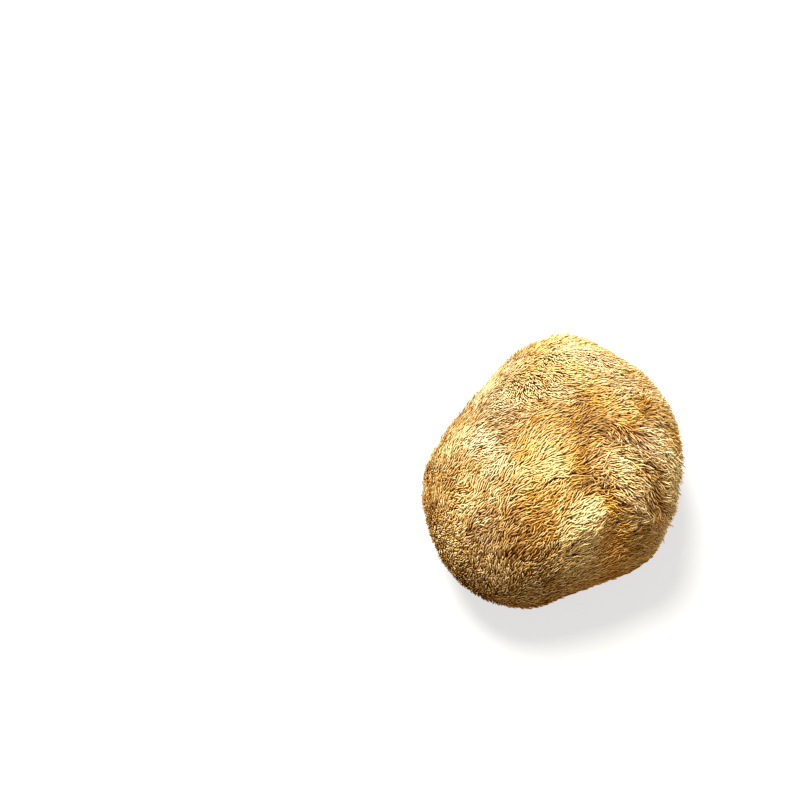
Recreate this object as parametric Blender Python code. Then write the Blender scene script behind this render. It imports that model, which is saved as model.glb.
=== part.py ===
"""A dried lion's mane mushroom head, lying on the flat cut where it grew.

The head is one body: a lobed cushion of flesh whose outside is drawn out into leaning spines.
Lengths are in millimetres until the mesh is finished, and then in metres. +Z is up, the
origin is the middle of the cut, and the spines hang towards +X, which was down as it grew.
"""

import math
import random

import bmesh
import bpy
from mathutils import Vector, noise

MM = 0.001
SEED = 21

# Form of the head: the rim is given every 30 degrees, anticlockwise from +X
RIM_RADII = (40.0, 45.0, 47.0, 50.5, 42.0, 39.5, 45.0, 49.0, 50.5, 41.5, 39.5, 39.5)
RIM_HEIGHT = 24.0
CROWN_RISE = 33.0
BELLY_DROP = 28.0
FULLNESS_ROUND = 0.88
FULLNESS_UP = 0.94

# The cut: a round flat that the underside tucks in to meet
CUT_RADIUS = 19.0
TUCK_HEIGHT = 9.0

# Swellings and hollows of the upper side: x, y, radius, height
RELIEF = (
    (4.0, -28.0, 7.0, 2.6),
    (21.0, -12.0, 11.0, 2.4),
    (11.0, 27.0, 9.0, 1.7),
    (-32.0, -3.0, 9.0, 1.1),
    (-8.0, -13.0, 9.0, 1.5),
    (8.5, -18.5, 6.5, -3.0),
    (8.0, -6.0, 6.0, -2.0),
    (13.0, -33.0, 7.5, -2.3),
    (7.0, 7.0, 8.0, -1.4),
    (-12.0, -25.0, 8.0, -1.6),
)
FULL_RELIEF_SLOPE = 0.4
UNEVENNESS = 0.7
UNEVEN_SPACING = 11.0

# Spines: how deep the furrows between them are, and how far the tips lean over
SPINE_DEPTH = 3.1
SPINE_REACH = 3.7
SPINE_VARIATION = 0.16
LOWEST_TIP = 0.6

# Near the cut the spines are short, and none stands right beside it
LOWEST_SPINE_ROOT = 2.6
FULL_SPINE_HEIGHT = 9.0
SHORT_SPINE_SHARE = 0.35

# How the spines are combed: x, y, heading in degrees from +X, rise
LIE = (
    (-3.0, 49.0, 10.0, -0.2),
    (0.0, 39.0, 25.0, 0.0),
    (-12.0, 32.0, -40.0, 0.1),
    (21.0, 33.0, 15.0, -0.1),
    (-28.0, 35.0, -10.0, 0.5),
    (-19.0, 27.0, 35.0, 0.2),
    (-4.0, 27.0, -5.0, 0.0),
    (4.0, 26.0, -20.0, 0.0),
    (11.0, 26.0, -30.0, 0.0),
    (22.0, 25.0, 30.0, -0.3),
    (-26.0, 19.0, 35.0, 0.3),
    (-18.0, 20.0, -30.0, 0.3),
    (-10.0, 18.0, -50.0, 0.1),
    (1.0, 17.0, 15.0, 0.0),
    (9.0, 17.0, 30.0, 0.0),
    (16.0, 18.0, 25.0, -0.1),
    (24.0, 18.0, 15.0, -0.2),
    (-29.0, 11.0, 35.0, 0.4),
    (-21.0, 11.0, -10.0, 0.3),
    (-12.0, 10.0, 0.0, 0.1),
    (1.0, 9.0, 35.0, 0.0),
    (10.0, 10.0, 15.0, 0.0),
    (21.0, 11.0, 35.0, -0.2),
    (30.0, 10.0, 25.0, -0.5),
    (-33.0, 4.0, 30.0, 0.6),
    (-23.0, 3.0, 25.0, 0.3),
    (-14.0, 1.0, 35.0, 0.0),
    (-5.0, 2.0, 35.0, 0.0),
    (5.0, 1.0, 25.0, 0.0),
    (13.0, 2.0, -30.0, 0.0),
    (22.0, 3.0, -20.0, -0.3),
    (30.0, 4.0, -25.0, -0.6),
    (-40.0, -4.0, 35.0, 1.2),
    (-32.0, -2.0, 5.0, 0.8),
    (-24.0, -4.0, 10.0, 0.3),
    (-12.0, -6.0, 30.0, 0.1),
    (-1.0, -6.0, 45.0, 0.0),
    (6.0, -6.0, 25.0, 0.0),
    (12.0, -6.0, -25.0, 0.0),
    (19.0, -5.0, -32.0, -0.3),
    (27.0, -4.0, -22.0, -0.7),
    (36.0, -4.0, -10.0, -1.0),
    (-37.0, -11.0, 25.0, 1.2),
    (-29.0, -12.0, 25.0, 0.6),
    (-19.0, -12.0, 35.0, 0.2),
    (-9.0, -13.0, 40.0, 0.1),
    (2.0, -13.0, 32.0, 0.0),
    (10.0, -13.0, 5.0, 0.0),
    (18.0, -12.0, -20.0, -0.4),
    (27.0, -11.0, -10.0, -0.9),
    (-40.0, -19.0, 10.0, 1.8),
    (-30.0, -19.0, 30.0, 0.8),
    (-20.0, -19.0, 38.0, 0.4),
    (-10.0, -19.0, 22.0, 0.3),
    (1.0, -19.0, 20.0, 0.0),
    (9.0, -20.0, 0.0, -0.2),
    (18.0, -18.0, -25.0, -0.6),
    (27.0, -18.0, -12.0, -1.2),
    (-33.0, -26.0, 15.0, 1.4),
    (-24.0, -25.0, 48.0, 0.7),
    (-14.0, -25.0, 42.0, 0.4),
    (-4.0, -25.0, 38.0, 0.3),
    (6.0, -26.0, 28.0, 0.1),
    (18.0, -23.0, -15.0, -0.5),
    (-35.0, -31.0, 0.0, 2.0),
    (-24.0, -32.0, 32.0, 1.0),
    (-13.0, -31.0, 38.0, 0.5),
    (-3.0, -31.0, 25.0, 0.4),
    (12.0, -29.0, 20.0, 0.2),
    (23.0, -28.0, 15.0, 0.1),
    (-28.0, -37.0, 5.0, 2.0),
    (-18.0, -38.0, 28.0, 1.2),
    (-8.0, -38.0, 28.0, 0.9),
    (3.0, -36.0, 28.0, 0.6),
    (14.0, -34.0, 35.0, 0.5),
    (-19.0, -43.0, 20.0, 1.8),
    (-6.0, -43.0, 22.0, 1.3),
    (12.0, -38.0, 25.0, 0.6),
)
LIE_SPREAD = 5.5
LIE_LEAST_WEIGHT = 1e-7

# The triangles that the spines stand on: cuts along each edge of an icosahedron
GRID_CUTS = 12
GRID_JITTER = 0.017

# Base colour, roughness and metallic value of the dried spines
SPINE_LOOK = ((0.56, 0.36, 0.14, 1.0), 0.85, 0.0)


def smooth_step(value):
    """Ease a value from 0 to 1, held at both ends."""
    held = min(max(value, 0.0), 1.0)
    return held * held * (3.0 - 2.0 * held)


def rim_radius(turn):
    """Radius of the rim at an angle in radians, by a closed curve through RIM_RADII."""
    count = len(RIM_RADII)
    place = (turn / math.tau) % 1.0 * count
    step = int(place)
    part = place - step
    before = RIM_RADII[(step - 1) % count]
    start = RIM_RADII[step % count]
    end = RIM_RADII[(step + 1) % count]
    after = RIM_RADII[(step + 2) % count]
    bend = 2.0 * before - 5.0 * start + 4.0 * end - after
    twist = 3.0 * (start - end) + after - before
    return start + 0.5 * part * (end - before + part * (bend + part * twist))


def envelope(turn, climb):
    """Point of the plain form at an angle round the head and an angle up from the rim."""
    half = BELLY_DROP if climb < 0.0 else CROWN_RISE
    share = abs(math.sin(climb)) ** FULLNESS_UP
    height = RIM_HEIGHT + math.copysign(half * share, climb)
    radius = rim_radius(turn) * max(math.cos(climb), 0.0) ** FULLNESS_ROUND
    if height < TUCK_HEIGHT:
        tuck = smooth_step(1.0 - height / TUCK_HEIGHT)
        radius += (CUT_RADIUS - radius) * tuck
    return Vector((radius * math.cos(turn), radius * math.sin(turn), height))


def cut_climb():
    """Angle below the rim at which the plain form comes down to the cut."""
    return -math.asin((RIM_HEIGHT / BELLY_DROP) ** (1.0 / FULLNESS_UP))


def form_point(direction, lowest):
    """Where a direction from the middle of the head meets the form, or the cut below it."""
    turn = math.atan2(direction.y, direction.x)
    climb = math.asin(min(max(direction.z, -1.0), 1.0))
    if climb > lowest:
        return envelope(turn, climb)
    radius = CUT_RADIUS * (math.pi / 2.0 + climb) / (math.pi / 2.0 + lowest)
    return Vector((radius * math.cos(turn), radius * math.sin(turn), 0.0))


def relief_height(point, facing_up):
    """Height of the swellings and hollows at a point of the form."""
    height = 0.0
    for x, y, radius, size in RELIEF:
        away = (point.x - x) ** 2 + (point.y - y) ** 2
        height += size * math.exp(-away / radius**2)
    uneven = UNEVENNESS * noise.noise(point / UNEVEN_SPACING)
    return height * smooth_step(facing_up / FULL_RELIEF_SLOPE) + uneven


def lie_direction(point):
    """Direction that the spines at a point hang in, before the flesh gets in their way."""
    pull = Vector((0.0, 0.0, 0.0))
    total = 0.0
    for x, y, heading, rise in LIE:
        away = (point.x - x) ** 2 + (point.y - y) ** 2
        weight = math.exp(-away / (2.0 * LIE_SPREAD**2)) + LIE_LEAST_WEIGHT
        turn = math.radians(heading)
        pull += weight * Vector((math.cos(turn), math.sin(turn), rise)).normalized()
        total += weight
    return pull / total


def shake_directions(mesh, dice):
    """Move each point of the sphere a little, so that the spines don't stand in rows."""
    for vert in mesh.verts:
        shake = Vector([dice.uniform(-1.0, 1.0) for axis in range(3)])
        shake -= shake.project(vert.co)
        vert.co = (vert.co + GRID_JITTER * shake).normalized()


def shape_flesh(mesh):
    """Move the points of the sphere to the flesh, which is a spine's depth inside the form."""
    lowest = cut_climb()
    for vert in mesh.verts:
        vert.co = form_point(vert.co, lowest)
    mesh.normal_update()
    moves = []
    for vert in mesh.verts:
        on_cut = vert.co.z < 1e-6
        out = relief_height(vert.co, vert.normal.z) - SPINE_DEPTH
        ease = smooth_step(vert.co.z / TUCK_HEIGHT)
        moves.append(Vector() if on_cut else vert.normal * out * ease)
    for vert, move in zip(mesh.verts, moves):
        vert.co += move
        vert.co.z = max(vert.co.z, 0.0)
    mesh.normal_update()


def raise_spines(mesh, dice):
    """Draw each face above the cut out into one leaning spine."""
    standing = [face for face in mesh.faces if face.calc_center_median().z > LOWEST_SPINE_ROOT]
    normals = [face.normal.copy() for face in standing]
    tips = bmesh.ops.poke(mesh, faces=standing)["verts"]
    for tip, normal in zip(tips, normals):
        lie = lie_direction(tip.co)
        along = lie - lie.project(normal)
        size = 1.0 + dice.uniform(-SPINE_VARIATION, SPINE_VARIATION)
        grown = smooth_step(tip.co.z / FULL_SPINE_HEIGHT)
        depth = SPINE_DEPTH * (SHORT_SPINE_SHARE + (1.0 - SHORT_SPINE_SHARE) * grown)
        tip.co += size * (depth * normal + SPINE_REACH * grown * along)
        tip.co.z = max(tip.co.z, LOWEST_TIP)


def join_cut(mesh):
    """Make the faces that lie in the cut one face."""
    flat = [face for face in mesh.faces if max(vert.co.z for vert in face.verts) < 1e-6]
    bmesh.ops.dissolve_faces(mesh, faces=flat, use_verts=True)


def spine_material():
    """Material of the dried flesh and spines."""
    colour, roughness, metallic = SPINE_LOOK
    material = bpy.data.materials.new("dried_spines")
    material.use_nodes = True
    shader = material.node_tree.nodes["Principled BSDF"]
    shader.inputs["Base Color"].default_value = colour
    shader.inputs["Roughness"].default_value = roughness
    shader.inputs["Metallic"].default_value = metallic
    material.diffuse_color = colour
    return material


def build_head():
    """Make the whole head as one closed body."""
    dice = random.Random(SEED)
    mesh = bmesh.new()
    bmesh.ops.create_icosphere(mesh, subdivisions=1, radius=1.0)
    bmesh.ops.subdivide_edges(mesh, edges=mesh.edges[:], cuts=GRID_CUTS, use_grid_fill=True)
    shake_directions(mesh, dice)
    shape_flesh(mesh)
    raise_spines(mesh, dice)
    join_cut(mesh)
    bmesh.ops.recalc_face_normals(mesh, faces=mesh.faces[:])
    bmesh.ops.scale(mesh, vec=(MM, MM, MM), verts=mesh.verts[:])
    data = bpy.data.meshes.new("fruiting_body")
    mesh.to_mesh(data)
    mesh.free()
    data.materials.append(spine_material())
    head = bpy.data.objects.new("fruiting_body", data)
    bpy.context.scene.collection.objects.link(head)
    return head


def clear_scene():
    """Remove what the scene holds."""
    for thing in list(bpy.data.objects):
        bpy.data.objects.remove(thing, do_unlink=True)


def main():
    clear_scene()
    build_head()


main()
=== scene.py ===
"""The looks of a dried lion's mane mushroom head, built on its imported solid.

The solid carries one coarse leaning spine on each of its triangles. Here those coarse spines are
taken off again to leave the flesh, and thousands of fine spines are planted on it, each lying the
way the coarse ones around it lie. Sizes are in millimetres unless a name says otherwise.
"""

from __future__ import annotations

import logging
import math
from dataclasses import dataclass, field
from enum import Enum
from functools import partial
from typing import Callable

import bpy
import numpy as np
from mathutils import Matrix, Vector, kdtree, noise

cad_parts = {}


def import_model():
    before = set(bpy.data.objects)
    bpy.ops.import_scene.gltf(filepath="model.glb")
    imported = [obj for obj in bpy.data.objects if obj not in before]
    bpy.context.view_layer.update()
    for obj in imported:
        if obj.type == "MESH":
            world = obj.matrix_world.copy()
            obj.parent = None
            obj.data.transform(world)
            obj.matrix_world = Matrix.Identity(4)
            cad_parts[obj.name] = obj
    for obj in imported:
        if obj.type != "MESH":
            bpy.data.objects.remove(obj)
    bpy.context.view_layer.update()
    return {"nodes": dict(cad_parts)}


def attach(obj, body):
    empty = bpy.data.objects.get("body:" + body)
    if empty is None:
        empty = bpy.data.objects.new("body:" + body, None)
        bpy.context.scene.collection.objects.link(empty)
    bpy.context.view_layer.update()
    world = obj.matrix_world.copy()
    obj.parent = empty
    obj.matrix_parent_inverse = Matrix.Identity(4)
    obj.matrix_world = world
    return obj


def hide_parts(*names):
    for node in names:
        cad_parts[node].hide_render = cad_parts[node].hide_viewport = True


LOG = logging.getLogger("lions_mane")
MM = 0.001
NODE = "fruiting_body"
BODY = "root"


def linear(hex_colour: str) -> tuple[float, float, float, float]:
    """Turn an sRGB hex colour into linear values.

    Args:
        hex_colour: The colour, such as "E3C283".

    Returns:
        Red, green, blue and an alpha of 1.
    """
    parts = [int(hex_colour[i : i + 2], 16) / 255.0 for i in (0, 2, 4)]
    values = [p / 12.92 if p <= 0.04045 else ((p + 0.055) / 1.055) ** 2.4 for p in parts]
    return (values[0], values[1], values[2], 1.0)


def add_node(
    tree: bpy.types.NodeTree,
    kind: str,
    settings: dict[str | int, object] | None = None,
    links: dict[str | int, bpy.types.NodeSocket] | None = None,
    stops: tuple[tuple[float, str], ...] = (),
) -> bpy.types.Node:
    """Add one node with its settings and links.

    Args:
        tree: The node tree it goes into.
        kind: The node's type name.
        settings: Values by attribute name, or else by name or index of the input socket.
        links: Output sockets by the name or index of the input socket that each feeds.
        stops: Position and sRGB hex colour of each stop of its colour ramp, if it has one.

    Returns:
        The new node.
    """
    node = tree.nodes.new(kind)
    for name, value in (settings or {}).items():
        if isinstance(name, str) and hasattr(node, name):
            setattr(node, name, value)
        else:
            node.inputs[name].default_value = value
    for name, socket in (links or {}).items():
        tree.links.new(socket, node.inputs[name])
    for number, (place, colour) in enumerate(stops):
        held = node.color_ramp.elements
        stop = held[number] if number < len(held) else held.new(place)
        stop.position = place
        stop.color = linear(colour)
    return node


def new_material(
    name: str, roughness: float, specular: float
) -> tuple[bpy.types.Material, Callable[..., bpy.types.Node], bpy.types.Node]:
    """Make a material with a bare Principled shader.

    Args:
        name: The material's name.
        roughness: Roughness of the surface.
        specular: How strongly the surface reflects.

    Returns:
        The material, what adds a node to it, and its shader node.
    """
    material = bpy.data.materials.new(name)
    material.use_nodes = True
    shader = material.node_tree.nodes["Principled BSDF"]
    shader.inputs["Roughness"].default_value = roughness
    shader.inputs["Specular IOR Level"].default_value = specular
    return material, partial(add_node, material.node_tree), shader


def unit(vectors: np.ndarray) -> np.ndarray:
    """Scale vectors to length 1, leaving zero vectors at zero."""
    lengths = np.linalg.norm(vectors, axis=-1, keepdims=True)
    return vectors / np.maximum(lengths, 1e-12)


def ease(values: np.ndarray) -> np.ndarray:
    """Ease values from 0 to 1, held at both ends."""
    held = np.clip(values, 0.0, 1.0)
    return held * held * (3.0 - 2.0 * held)


def blend(ends: tuple[float, float], share: np.ndarray) -> np.ndarray:
    """Blend from one end to the other by some shares."""
    return ends[0] + (ends[1] - ends[0]) * share


@dataclass(frozen=True)
class DriedSpineFinish:
    """Spines of a dried lion's mane: tough, fibrous and matt, straw where thin and rust where old.

    The eye sees pale, dry tips over roots darkened by painted shade, in soft patches of cream,
    straw and golden tan. The sides turned to the flesh carry painted shade as well.

    Attributes:
        tones: Colours of the tones, from 0, rust brown, to 1, cream.
        root_shade_tint: Colour that the roots are multiplied by, a painted shade of the gaps
            between the spines.
        root_shade_length: Share of the length over which that painted shade fades out.
        underside_shade_share: How strong the painted shade is on the side turned to the flesh.
        underside_shade_edges: Where it begins and ends to fade there, from 0, inside, to 1,
            outside.
        bleached: Share of their colour that the most bleached spines keep.
        bleached_hue: The hue that they turn to, where 0.5 is no turn.
        fleck_mm: Size of the flecks, drawn much coarser than real fibrils so that they show.
    """

    tones: tuple[tuple[float, str], ...] = (
        (0.0, "5A3708"),
        (0.25, "8B6019"),
        (0.5, "AE8742"),
        (0.75, "C4AA70"),
        (1.0, "D3C48E"),
    )
    rust: str = "B0741E"
    root_shade_tint: str = "965E12"
    root_shade_length: float = 0.6
    underside_shade_share: float = 0.8
    underside_shade_edges: tuple[float, float] = (0.15, 0.8)
    bleached: float = 0.6
    bleached_hue: float = 0.51
    patch_mm: float = 9.0
    patch_shift: float = 0.1
    fleck_mm: float = 1.1
    fleck_shift: float = 0.08
    roughness: float = 0.6
    specular: float = 0.04

    def material(self) -> bpy.types.Material:
        """Make the material, which reads each spine's own attributes and Object coordinates.

        Returns:
            The material.
        """
        material, add, shader = new_material("dried_spine_straw", self.roughness, self.specular)
        spine = add("ShaderNodeAttribute", {"attribute_name": "spine"})
        parts = add("ShaderNodeSeparateColor", {}, {"Color": spine.outputs["Color"]})
        along, tone, warmth = parts.outputs[0], parts.outputs[1], parts.outputs[2]
        place = add("ShaderNodeTexCoord").outputs["Object"]
        clouds = ((self.patch_mm, 0.5, self.patch_shift), (self.fleck_mm, 0.6, self.fleck_shift))
        for size, roughness, most in clouds:
            look = {"Scale": 1.0 / (size * MM), "Detail": 2.0, "Roughness": roughness}
            cloud = add("ShaderNodeTexNoise", look, {"Vector": place}).outputs["Fac"]
            span = {"From Min": 0.3, "From Max": 0.7, "To Min": -most, "To Max": most}
            shift = add("ShaderNodeMapRange", span, {"Value": cloud}).outputs[0]
            tone = add("ShaderNodeMath", {"operation": "ADD"}, {0: tone, 1: shift}).outputs[0]
        ramp = add("ShaderNodeValToRGB", {}, {"Fac": tone}, self.tones)
        begin, end = self.underside_shade_edges
        inner = spine.outputs["Alpha"]
        ranges = (
            (warmth, "LINEAR", 0.5, 1.0, 0.0, 1.0),
            (warmth, "LINEAR", 0.0, 0.5, self.bleached, 1.0),
            (warmth, "LINEAR", 0.0, 0.5, self.bleached_hue, 0.5),
            (along, "SMOOTHSTEP", 0.0, self.root_shade_length, 1.0, 0.0),
            (inner, "LINEAR", begin, end, self.underside_shade_share, 0.0),
        )
        rust_share, richness, hue, near_root, turned_in = (
            add(
                "ShaderNodeMapRange",
                {"interpolation_type": way, "From Min": low, "From Max": high}
                | {"To Min": first, "To Max": last},
                {"Value": value},
            ).outputs[0]
            for value, way, low, high, first, last in ranges
        )
        rusting = {"data_type": "RGBA", 7: linear(self.rust)}
        rusty = add("ShaderNodeMix", rusting, {0: rust_share, 6: ramp.outputs["Color"]})
        bleaching = {"Hue": hue, "Saturation": richness, "Color": rusty.outputs[2]}
        bleached = add("ShaderNodeHueSaturation", {}, bleaching)
        # Painted shade: the roots and the sides turned to the flesh are multiplied darker,
        # standing in for the shade between the spines.
        shaded = add("ShaderNodeMath", {"operation": "MAXIMUM"}, {0: near_root, 1: turned_in})
        shading = {"data_type": "RGBA", "blend_type": "MULTIPLY", 7: linear(self.root_shade_tint)}
        links = {0: shaded.outputs[0], 6: bleached.outputs[0]}
        coloured = add("ShaderNodeMix", shading, links)
        material.node_tree.links.new(coloured.outputs[2], shader.inputs["Base Color"])
        return material


@dataclass(frozen=True)
class DriedFleshFinish:
    """Dried flesh under the spines: spongy, dark gold to deep brown and much darker than the cut,
    a painted shade of the gaps, which lie mostly in the spines' own shade.

    The eye sees it only as the dark bottom of the gaps between the spines.
    """

    tones: tuple[tuple[float, str], ...] = ((0.35, "2E1804"), (0.7, "6A4314"))
    sponge_mm: float = 1.4
    bump_mm: float = 0.25
    roughness: float = 0.85
    specular: float = 0.1

    def material(self) -> bpy.types.Material:
        """Make the material, a fine spongy noise in two browns.

        Returns:
            The material.
        """
        material, add, shader = new_material("dried_flesh_sponge", self.roughness, self.specular)
        place = add("ShaderNodeTexCoord").outputs["Object"]
        look = {"Scale": 1.0 / (self.sponge_mm * MM), "Detail": 4.0, "Roughness": 0.65}
        sponge = add("ShaderNodeTexNoise", look, {"Vector": place}).outputs["Fac"]
        ramp = add("ShaderNodeValToRGB", {}, {"Fac": sponge}, self.tones)
        relief = {"Strength": 0.7, "Distance": self.bump_mm * MM}
        bump = add("ShaderNodeBump", relief, {"Height": sponge})
        links = material.node_tree.links
        links.new(ramp.outputs["Color"], shader.inputs["Base Color"])
        links.new(bump.outputs["Normal"], shader.inputs["Normal"])
        return material


@dataclass(frozen=True)
class CutFleshFinish:
    """The dried cut: close flesh with small, uneven pores.

    The eye sees tan flesh, browned towards its edge by drying, and dark pores.

    Attributes:
        tones: Colours of its middle and of its browned rim.
        pore_edges: Measure of a pore at which it begins and ends to turn into flesh.
        pore_mottle: How far the mottle makes the pores uneven.
        rim_mottle: How far it reaches into the browned rim.
        rim_begin: Share of the radius at which the rim begins.
    """

    tones: tuple[tuple[float, str], ...] = ((0.5, "AC8850"), (1.0, "7C5426"))
    pore: str = "3F2812"
    pore_mm: float = 1.6
    pore_edges: tuple[float, float] = (0.34, 0.5)
    pore_mottle: float = 0.5
    mottle_mm: float = 6.0
    rim_mottle: float = 1.2
    rim_begin: float = 0.6
    cut_radius: float = 19.0
    bump_mm: float = 0.3
    roughness: float = 0.8
    specular: float = 0.5

    def material(self) -> bpy.types.Material:
        """Make the material: pores all over, and a browned rim by distance from the middle.

        Returns:
            The material.
        """
        material, add, shader = new_material("dried_cut_flesh", self.roughness, self.specular)
        place = add("ShaderNodeTexCoord").outputs["Object"]
        spots = {"Scale": 1.0 / (self.pore_mm * MM), "Randomness": 1.0}
        pores = add("ShaderNodeTexVoronoi", spots, {"Vector": place}).outputs["Distance"]
        look = {"Scale": 1.0 / (self.mottle_mm * MM), "Detail": 5.0, "Roughness": 0.6}
        mottle = add("ShaderNodeTexNoise", look, {"Vector": place}).outputs["Fac"]
        far = add("ShaderNodeVectorMath", {"operation": "LENGTH"}, {0: place}).outputs["Value"]
        edge = self.cut_radius * MM
        span = {"From Min": self.rim_begin * edge, "From Max": edge}
        rim = add("ShaderNodeMapRange", span, {"Value": far}).outputs[0]
        browning, uneven = (
            add("ShaderNodeMath", {"operation": "MULTIPLY_ADD", 1: share}, {0: mottle, 2: added})
            for share, added in ((self.rim_mottle, rim), (self.pore_mottle, pores))
        )
        ramp = add("ShaderNodeValToRGB", {}, {"Fac": browning.outputs[0]}, self.tones)
        begin, end = self.pore_edges
        span = {"From Min": begin, "From Max": end}
        holes = add("ShaderNodeMapRange", span, {"Value": uneven.outputs[0]}).outputs[0]
        piercing = {"data_type": "RGBA", 6: linear(self.pore)}
        mixed = add("ShaderNodeMix", piercing, {0: holes, 7: ramp.outputs["Color"]})
        relief = {"Strength": 0.8, "Distance": self.bump_mm * MM}
        bump = add("ShaderNodeBump", relief, {"Height": holes})
        links = material.node_tree.links
        links.new(mixed.outputs[2], shader.inputs["Base Color"])
        links.new(bump.outputs["Normal"], shader.inputs["Normal"])
        return material


@dataclass(frozen=True)
class LightTableFinish:
    """Opal acrylic of a light table: white, matt and lit from below, so that shadows stay pale."""

    colour: str = "585755"
    glow_colour: str = "FFFFFF"
    glow: float = 0.7
    roughness: float = 0.9
    specular: float = 0.2

    def material(self) -> bpy.types.Material:
        """Make the material.

        Returns:
            The material.
        """
        material, _, shader = new_material(
            "opal_acrylic_light_table", self.roughness, self.specular
        )
        shader.inputs["Base Color"].default_value = linear(self.colour)
        shader.inputs["Emission Color"].default_value = linear(self.glow_colour)
        shader.inputs["Emission Strength"].default_value = self.glow
        return material


@dataclass(frozen=True)
class Patch:
    """A stretch of the head whose spines differ from the rest, in their own colour and in painted
    light and shade.

    Attributes:
        x, y: Place of its middle, seen from above.
        radius: How far it reaches.
        tone: Added to the tone, which runs from 0, rust brown, to 1, cream; partly the head's own
            colour, partly painted light and shade.
        warmth: Added to the warmth, which runs from -0.5, bleached, to 0.5, rusty.
        unruly: Added to how much its spines stray and curl.
        turn: How far its spines are turned aside, in degrees, seen from outside.
        growth: Added to the length, as a share of it.
        root_shade: Added to how far the painted shade of the roots runs up and round its spines.
    """

    x: float
    y: float
    radius: float
    tone: float = 0.0
    warmth: float = 0.0
    unruly: float = 0.0
    turn: float = 0.0
    growth: float = 0.0
    root_shade: float = 0.0


# Their tones and warmths are partly the head's own patches of colour and partly painted light and
# shade, lighter or darker where its rises, hollows and edges catch or lose the light. Their root
# shade deepens or thins the painted shade between the spines.
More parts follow.
